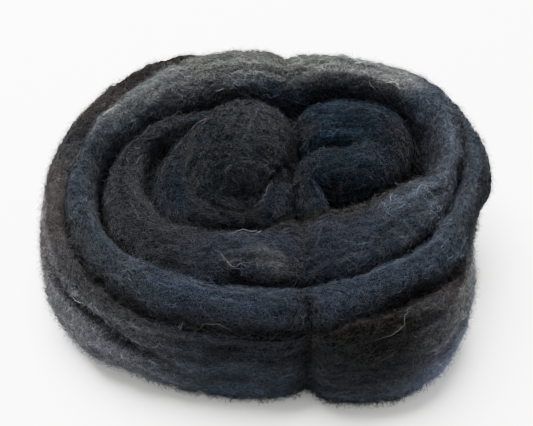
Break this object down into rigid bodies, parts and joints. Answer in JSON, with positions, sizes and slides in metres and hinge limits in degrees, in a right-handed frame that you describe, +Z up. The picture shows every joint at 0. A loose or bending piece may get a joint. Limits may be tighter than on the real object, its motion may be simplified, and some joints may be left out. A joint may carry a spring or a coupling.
{
  "type": "wool roving bundle",
  "caption": "A flat, dished bundle of dark carded wool roving, wound on edge round itself and drawn in across its middle, resting on a flat spot",
  "frame": {"origin": "middle of the flat spot that the bundle rests on, at the centre of its outline seen from above", "axes": "+X along the longest side, +Y from the front to the back, +Z up"},
  "size_m": [0.1416, 0.1262, 0.0465],
  "materials": {
    "charcoal_wool": "matte carded wool, a blend of charcoal, navy, slate blue and brown-grey fibres, fuzzy"
  },
  "bodies": {
    "root": {"roving_bundle": "charcoal_wool"}
  },
  "joints": []
}
